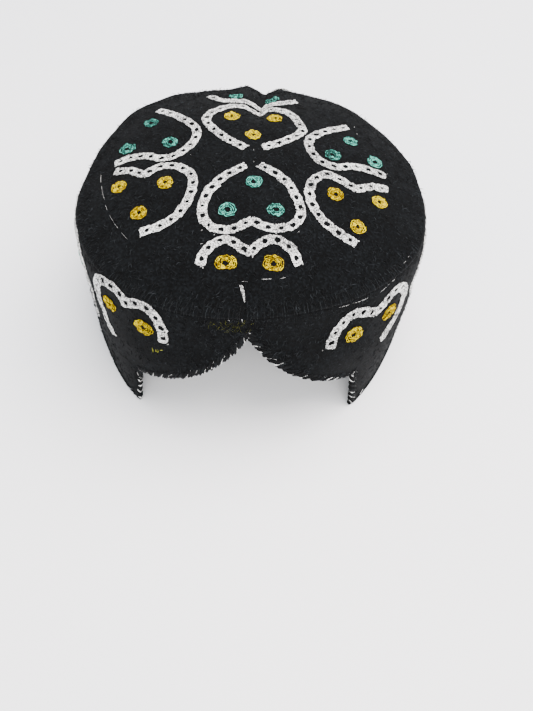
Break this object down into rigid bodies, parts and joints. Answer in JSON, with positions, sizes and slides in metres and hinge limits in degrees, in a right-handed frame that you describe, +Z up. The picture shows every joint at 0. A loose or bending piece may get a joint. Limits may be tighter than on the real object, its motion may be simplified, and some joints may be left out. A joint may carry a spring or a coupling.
{
  "type": "sindhi cap",
  "caption": "Round felt cap with a domed crown disc, a high side band whose front edge has two scallops under a peak, and an overcast edge.",
  "frame": {"origin": "centre of the cap's bounding box, on the surface that its lower edge rests on", "axes": "+Z up out of the crown, -Y towards the front cut-out, +X towards the wearer's left"},
  "size_m": [0.1738, 0.1711, 0.0988],
  "materials": {
    "black_felt": "matt napped felt, stitched all over in black thread",
    "black_thread": "overcast black and white cotton thread",
    "white_thread": "looped white embroidery thread",
    "yellow_thread": "looped yellow embroidery thread",
    "teal_thread": "looped teal embroidery thread"
  },
  "bodies": {
    "root": {"crown": "black_felt", "side_band": "black_felt", "rim_overcast": "black_thread"}
  },
  "joints": []
}
